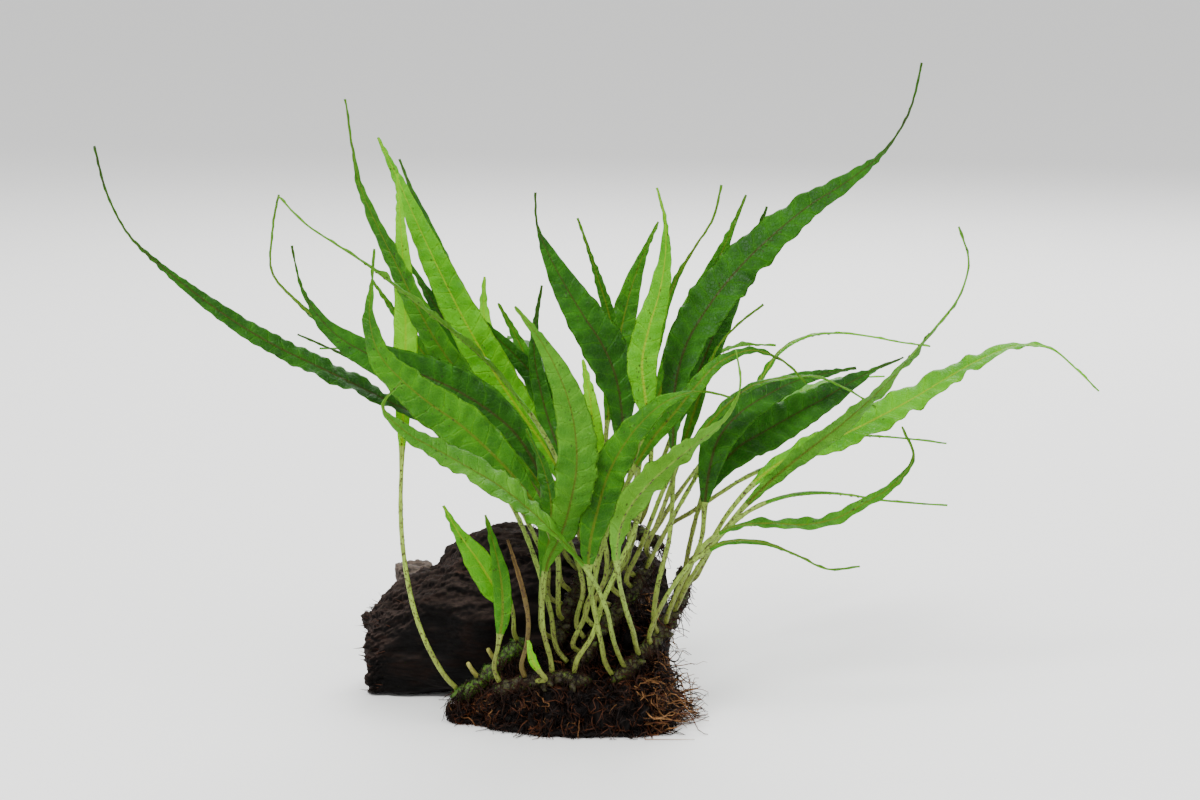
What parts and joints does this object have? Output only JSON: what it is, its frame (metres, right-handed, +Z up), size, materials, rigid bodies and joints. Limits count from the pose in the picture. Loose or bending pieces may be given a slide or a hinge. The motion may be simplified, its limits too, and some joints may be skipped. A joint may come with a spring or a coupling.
{
  "type": "java fern on driftwood",
  "caption": "Aquarium fern with long tapering fronds fanning from creeping rhizomes rooted on a small dark driftwood log that rests flat.",
  "frame": {"origin": "middle of the log's flat seat, on the surface it rests on", "axes": "+Z up; +X along the log, from its broken end to the end under the crown; +Y to the back of the plant"},
  "size_m": [0.3607, 0.1935, 0.2312],
  "materials": {
    "leaf_dark": "dark green leaf, satin, ribbed",
    "leaf_green": "mid green leaf, satin, ribbed",
    "leaf_bright": "bright green leaf, satin, ribbed",
    "leaf_pale": "pale grey-green leaf underside, matte",
    "leaf_yellow": "thin yellow-green leaf, light shows through",
    "leaf_dry": "dry brown stalk, matte",
    "driftwood": "nearly black waterlogged wood, rough, grained",
    "rhizome": "green-brown knobbly stem with moss",
    "root_felt": "fine dark red-brown root fibres"
  },
  "bodies": {
    "root": {"driftwood_fork": "driftwood", "driftwood_log": "driftwood", "frond_back_01": "leaf_green", "frond_back_02": "leaf_dark", "frond_back_03": "leaf_dark", "frond_back_04": "leaf_green", "frond_back_05": "leaf_dark", "frond_back_06": "leaf_green", "frond_back_07": "leaf_bright", "frond_back_08": "leaf_bright", "frond_back_09": "leaf_green", "frond_back_10": "leaf_dark", "frond_front_01": "leaf_pale", "frond_front_02": "leaf_pale", "frond_front_03": "leaf_green", "frond_front_04": "leaf_pale", "frond_front_05": "leaf_green", "frond_front_06": "leaf_yellow", "frond_left_01": "leaf_dark", "frond_left_02": "leaf_green", "frond_left_03": "leaf_dark", "frond_left_04": "leaf_green", "frond_left_05": "leaf_dark", "frond_left_06": "leaf_pale", "frond_left_07": "leaf_green", "frond_left_08": "leaf_yellow", "frond_left_09": "leaf_bright", "frond_left_10": "leaf_dark", "frond_left_11": "leaf_green", "frond_middle_01": "leaf_dark", "frond_middle_02": "leaf_green", "frond_middle_03": "leaf_dark", "frond_middle_04": "leaf_green", "frond_middle_05": "leaf_yellow", "frond_middle_06": "leaf_bright", "frond_middle_07": "leaf_green", "frond_right_01": "leaf_dark", "frond_right_02": "leaf_dark", "frond_right_03": "leaf_dark", "frond_right_04": "leaf_pale", "frond_right_05": "leaf_bright", "frond_right_06": "leaf_green", "frond_right_07": "leaf_green", "frond_right_08": "leaf_green", "frond_right_09": "leaf_green", "frond_right_10": "leaf_green", "frond_right_11": "leaf_bright", "frond_right_12": "leaf_green", "frond_young_01": "leaf_bright", "frond_young_02": "leaf_green", "frond_young_03": "leaf_dry", "frond_young_04": "leaf_yellow", "frond_young_05": "leaf_green", "rhizome_back": "rhizome", "rhizome_centre": "rhizome", "rhizome_front": "rhizome", "rhizome_left": "rhizome", "rhizome_middle": "rhizome", "rhizome_right": "rhizome", "root_mat": "root_felt"}
  },
  "joints": []
}
